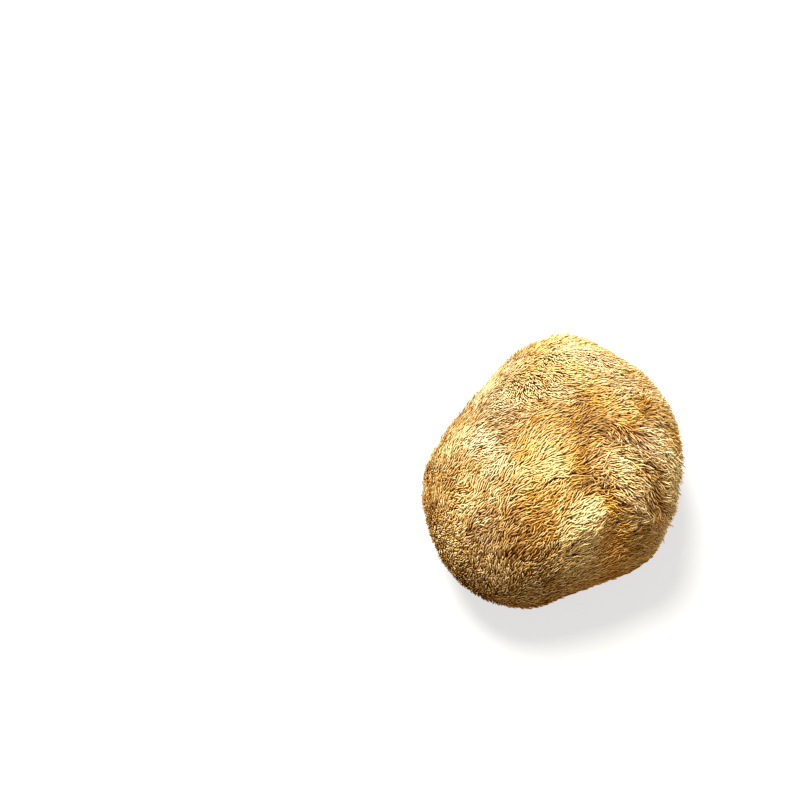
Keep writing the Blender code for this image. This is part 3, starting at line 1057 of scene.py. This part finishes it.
@dataclass
class Mane:
    """All the spines.

    Attributes:
        combing: How they bend and stray.
        colouring: How their looks vary.
        thickness: Thickness of a spine at its root.
        thickness_shares: Least and greatest share of that thickness, by chance.
        flatness: Share of its width that the flattest spine is high.
        upper: Slope of the flesh where the patches begin to tell, and over what change of it.
        gap: Distance that spines keep from each other, middle to middle.
        rounds: How often spines are pushed apart.
        upward_share: Share of the upward part of a push that is taken.
        most_push: Furthest that a spine is pushed in one round.
        firm: Share of the length next to the root that isn't pushed, and share over which the
            push sets in.
        clearance: Least height of a spine above what the head lies on.
        under_height: Height below which spines are in the piece under the head.
        crown_radius: Distance from the middle within which they are in the crown.
        sectors: Angles seen from above, from the right and leftwards round, that the back, the
            left shoulder, the front and the right lobe begin at.
        margin: Share of its cell on the map that is free at each side of a spine.
        seed: Start of the random draws.
    """

    combing: Combing = Combing()
    colouring: Colouring = Colouring()
    thickness: float = 0.48
    thickness_shares: tuple[float, float] = (0.85, 1.15)
    flatness: float = 0.65
    upper: tuple[float, float] = (-0.35, 0.5)
    gap: float = 0.72
    rounds: int = 4
    upward_share: float = 0.4
    most_push: float = 0.4
    firm: tuple[float, float] = (0.1, 0.4)
    clearance: float = 0.3
    under_height: float = 13.0
    crown_radius: float = 22.0
    sectors: tuple[float, float, float, float] = (50.0, 135.0, 225.0, 310.0)
    margin: float = 0.06
    seed: int = 23

    def build(self, roots: Roots, master: MasterSpine) -> list[bpy.types.Object]:
        """Grow every spine and gather them in a few pieces.

        Args:
            roots: Where they grow.
            master: The spine that is copied.

        Returns:
            The pieces.
        """
        dice = np.random.default_rng(self.seed)
        style = self.style(roots)
        path, side = self.combing.paths(roots, style, dice)
        path = self.push_apart(path, roots.out)
        path, side = self.at_levels(path, master.levels), self.at_levels(side, master.levels)
        width = 0.5 * self.thickness * dice.uniform(*self.thickness_shares, len(path))
        points, outer = self.sweep(path, side, width, master, dice)
        looks = self.colouring.looks(roots, style, dice)
        material = DriedSpineFinish().material()
        pieces = []
        for part, mine in self.parts(roots).items():
            piece = self.join(part.value, points[mine], master)
            self.colouring.paint(piece.data, looks[mine], master.points[:, 2], outer[mine])
            piece.data.materials.append(material)
            pieces.append(piece)
        return pieces

    def style(self, roots: Roots) -> dict[str, np.ndarray]:
        """Sum what the patches add at each root.

        Args:
            roots: Where the spines grow.

        Returns:
            Each value of the patches by name, summed for each spine.
        """
        upper = ease((roots.out[:, 2] - self.upper[0]) / self.upper[1])
        sums = dict.fromkeys(("tone", "warmth", "unruly", "turn", "growth", "root_shade"), 0.0)
        for patch in PATCHES:
            away = (roots.place[:, 0] - patch.x) ** 2 + (roots.place[:, 1] - patch.y) ** 2
            share = np.exp(-away / patch.radius**2) * upper
            for name in sums:
                sums[name] = sums[name] + share * getattr(patch, name)
        return sums

    def at_levels(self, values: np.ndarray, levels: np.ndarray) -> np.ndarray:
        """Read values along the spines at other shares of the length.

        Args:
            values: Values at even steps along each spine.
            levels: The shares of the length that they are wanted at.

        Returns:
            The values there.
        """
        steps = values.shape[1] - 1
        place = levels * steps
        low = np.minimum(place.astype(int), steps - 1)
        part = (place - low)[None, :, None]
        return values[:, low] * (1.0 - part) + values[:, low + 1] * part

    def push_apart(self, path: np.ndarray, out: np.ndarray) -> np.ndarray:
        """Move spines that run into each other apart, since two can't be in one place.

        Args:
            path: Places along each path.
            out: Directions straight out of the flesh at the roots.

        Returns:
            The changed paths.
        """
        count, steps = path.shape[:2]
        share = np.arange(steps) / (steps - 1.0)
        free = np.clip((share - self.firm[0]) / self.firm[1], 0.0, 1.0)
        owner = np.repeat(np.arange(count), steps)
        for _ in range(self.rounds):
            push = self.pushes(path.reshape(-1, 3), owner).reshape(path.shape)
            upward = (push * out[:, None]).sum(2)[:, :, None] * out[:, None]
            push -= (1.0 - self.upward_share) * upward
            push *= free[None, :, None]
            before = np.concatenate([push[:, :1], push[:, :-1]], 1)
            after = np.concatenate([push[:, 1:], push[:, -1:]], 1)
            path = path + 0.25 * before + 0.5 * push + 0.25 * after
        path[:, :, 2] = np.maximum(path[:, :, 2], self.clearance)
        return path

    def pushes(self, places: np.ndarray, owner: np.ndarray) -> np.ndarray:
        """Work out how far each place is pushed by those of other spines that are too near.

        Args:
            places: Places along all the spines.
            owner: The number of the spine that each belongs to.

        Returns:
            How far and which way each is pushed.
        """
        span = 4096  # more cells than the head is wide, so that each has a number of its own
        cell = np.floor(places / self.gap).astype(np.int64) + span // 2
        key = (cell[:, 0] * span + cell[:, 1]) * span + cell[:, 2]
        order = np.argsort(key, kind="stable")
        filled, first, held = np.unique(key[order], return_index=True, return_counts=True)
        push = np.zeros_like(places)
        around = (-1, 0, 1)
        for step in [(i * span + j) * span + k for i in around for j in around for k in around]:
            spot = np.minimum(np.searchsorted(filled, key + step), len(filled) - 1)
            many = np.where(filled[spot] == key + step, held[spot], 0)
            for turn in range(int(many.max())):
                mine = np.flatnonzero(many > turn)
                other = order[first[spot[mine]] + turn]
                apart = owner[mine] != owner[other]
                mine, other = mine[apart], other[apart]
                between = places[mine] - places[other]
                away = np.linalg.norm(between, axis=1)
                near = (away < self.gap) & (away > 1e-6)
                mine, between, away = mine[near], between[near], away[near]
                push[mine] += between * (0.5 * (self.gap - away) / away)[:, None]
        reach = np.linalg.norm(push, axis=1, keepdims=True)
        return push * np.minimum(1.0, self.most_push / np.maximum(reach, 1e-9))

    def sweep(
        self,
        path: np.ndarray,
        side: np.ndarray,
        width: np.ndarray,
        master: MasterSpine,
        dice: np.random.Generator,
    ) -> tuple[np.ndarray, np.ndarray]:
        """Copy the master spine along every path.

        Args:
            path: Places along each path.
            side: Sideways direction at each place.
            width: Half the thickness of each spine.
            master: The spine that is copied.
            dice: Source of chance.

        Returns:
            The points of each copy, and how far each faces away from the flesh, from 0 to 1.
        """
        ahead = unit(np.gradient(path, axis=1))
        side = unit(side - (side * ahead).sum(2)[:, :, None] * ahead)
        up = np.cross(ahead, side)
        turn = dice.uniform(0.0, math.tau, len(path))[:, None]
        x = master.points[:, 0] * np.cos(turn) - master.points[:, 1] * np.sin(turn)
        y = master.points[:, 0] * np.sin(turn) + master.points[:, 1] * np.cos(turn)
        flat = dice.uniform(self.flatness, 1.0, len(path))[:, None]
        ring = master.ring_of
        spread = side[:, ring] * (x * width[:, None])[:, :, None]
        spread = spread + up[:, ring] * (y * flat * width[:, None])[:, :, None]
        outer = 0.5 + 0.5 * y / np.maximum(np.hypot(x, y), 1e-6)
        outer[:, np.hypot(master.points[:, 0], master.points[:, 1]) < 1e-6] = 1.0
        return path[:, ring] + spread, outer

    def parts(self, roots: Roots) -> dict[Part, np.ndarray]:
        """Share the spines out among the pieces.

        Args:
            roots: Where the spines grow.

        Returns:
            The numbers of each piece's spines.
        """
        x, y, z = roots.place.T
        turn = np.degrees(np.arctan2(y, x)) % 360.0
        back, left_side, front, right = self.sectors
        chosen = {
            Part.UNDER: z < self.under_height,
            Part.CROWN: np.hypot(x, y) < self.crown_radius,
            Part.RIGHT: (turn < back) | (turn >= right),
            Part.BACK: turn < left_side,
            Part.LEFT: turn < front,
            Part.FRONT: turn < right,
        }
        left = np.ones(len(roots.place), bool)
        shared = {}
        for part, test in chosen.items():
            shared[part] = np.flatnonzero(left & test)
            left &= ~test
        return shared

    def join(self, name: str, points: np.ndarray, master: MasterSpine) -> bpy.types.Object:
        """Make one mesh of many spines.

        Args:
            name: The piece's name.
            points: The points of each spine.
            master: The spine that was copied.

        Returns:
            The piece.
        """
        count, each = points.shape[:2]
        sizes = np.array([len(face) for face in master.faces])
        corners = np.concatenate([np.array(face) for face in master.faces])
        starts = np.arange(count)[:, None] * each
        mesh = bpy.data.meshes.new(name)
        mesh.vertices.add(count * each)
        mesh.vertices.foreach_set("co", (points * MM).astype(np.float32).ravel())
        mesh.loops.add(count * len(corners))
        mesh.loops.foreach_set("vertex_index", (starts + corners).astype(np.int32).ravel())
        mesh.polygons.add(count * len(sizes))
        firsts = np.concatenate([[0], np.cumsum(np.tile(sizes, count))[:-1]])
        mesh.polygons.foreach_set("loop_start", firsts.astype(np.int32))
        mesh.update(calc_edges=True)
        mesh.polygons.foreach_set("use_smooth", np.ones(len(mesh.polygons), bool))
        self.lay_out(mesh, master, count)
        piece = bpy.data.objects.new(name, mesh)
        bpy.context.scene.collection.objects.link(piece)
        return piece

    def lay_out(self, mesh: bpy.types.Mesh, master: MasterSpine, count: int) -> None:
        """Give each spine a cell of its own on the piece's map.

        Args:
            mesh: The piece's mesh.
            master: The spine that was copied.
            count: How many spines there are.
        """
        across = math.ceil(math.sqrt(count))
        cell = np.column_stack([np.arange(count) % across, np.arange(count) // across])
        inner = 1.0 - 2.0 * self.margin
        laid = cell[:, None, :] + self.margin + inner * master.unwrapped[None]
        layer = mesh.uv_layers.new(name="OFBake")
        layer.data.foreach_set("uv", (laid / across).astype(np.float32).ravel())


@dataclass
class Studio:
    """Light table, lights and camera. Angles are in degrees.

    Attributes:
        nearest, furthest: Distances between which the camera sees.
        camera_elevation: How far its axis looks down.
        key_from: Direction that the light comes from.
        key_softness: How wide the light looks from the head.
    """

    lens: float = 60.0
    sensor: float = 36.0
    nearest: float = 10.0
    furthest: float = 20000.0
    camera_place: tuple[float, float, float] = (-53.16, -214.21, 413.73)
    camera_elevation: float = 58.0
    floor_size: float = 60000.0
    key_from: tuple[float, float, float] = (-0.3, 0.32, 0.9)
    key_strength: float = 14.4
    key_softness: float = 22.0
    key_colour: str = "FFFEFA"
    room_strength: float = 0.72
    room_colour: str = "FFE6C4"
    backdrop_strength: float = 0.95
    backdrop_colour: str = "FFFFFF"

    def build(self) -> None:
        """Set up the whole studio."""
        self.lay_floor()
        self.place_camera()
        self.hang_key_light()
        self.set_surroundings()

    def lay_floor(self) -> None:
        """Lay the table that the head rests on."""
        bpy.ops.object.select_all(action="DESELECT")
        bpy.ops.mesh.primitive_plane_add(size=self.floor_size * MM)
        floor = bpy.context.active_object
        floor.name = "light_table"
        floor.data.materials.append(LightTableFinish().material())

    def place_camera(self) -> None:
        """Stand the camera where the photograph was taken from."""
        data = bpy.data.cameras.new("camera")
        data.lens = self.lens
        data.sensor_width = self.sensor
        data.clip_start = self.nearest * MM
        data.clip_end = self.furthest * MM
        camera = bpy.data.objects.new("camera", data)
        camera.location = Vector(self.camera_place) * MM
        camera.rotation_euler = (math.radians(90.0 - self.camera_elevation), 0.0, 0.0)
        bpy.context.scene.collection.objects.link(camera)
        bpy.context.scene.camera = camera

    def hang_key_light(self) -> None:
        """Hang the one large, soft and distant light, up behind the head and to its left."""
        data = bpy.data.lights.new("key", "SUN")
        data.energy = self.key_strength
        data.angle = math.radians(self.key_softness)
        data.color = linear(self.key_colour)[:3]
        light = bpy.data.objects.new("key", data)
        light.rotation_euler = Vector(self.key_from).to_track_quat("Z", "Y").to_euler()
        bpy.context.scene.collection.objects.link(light)

    def set_surroundings(self) -> None:
        """Light the room evenly and dimly, with a pale backdrop, and show colours as they are."""
        world = bpy.data.worlds.new("room")
        world.use_nodes = True
        tree = world.node_tree
        dim = tree.nodes["Background"]
        dim.inputs["Color"].default_value = linear(self.room_colour)
        dim.inputs["Strength"].default_value = self.room_strength
        add = partial(add_node, tree)
        backdrop = {"Color": linear(self.backdrop_colour), "Strength": self.backdrop_strength}
        pale = add("ShaderNodeBackground", backdrop)
        seen = add("ShaderNodeLightPath").outputs["Is Camera Ray"]
        links = {0: seen, 1: dim.outputs[0], 2: pale.outputs[0]}
        mixed = add("ShaderNodeMixShader", {}, links)
        tree.links.new(mixed.outputs[0], tree.nodes["World Output"].inputs["Surface"])
        bpy.context.scene.world = world
        bpy.context.scene.view_settings.view_transform = "Standard"


def main() -> None:
    """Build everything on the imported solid, in order."""
    logging.basicConfig(level=logging.INFO, format="%(message)s")
    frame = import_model()
    node = frame["nodes"][NODE]
    flesh = Flesh()
    body = flesh.build(node)
    master = MasterSpine()
    master.build()
    roots = Planting().plant(flesh, body)
    pieces = [body, *Mane().build(roots, master)]
    for piece in pieces:
        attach(piece, BODY)
        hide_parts(NODE)
        piece.data.calc_loop_triangles()
        LOG.info("%s: %d triangles", piece.name, len(piece.data.loop_triangles))
    Studio().build()


if __name__ == "__main__":
    main()
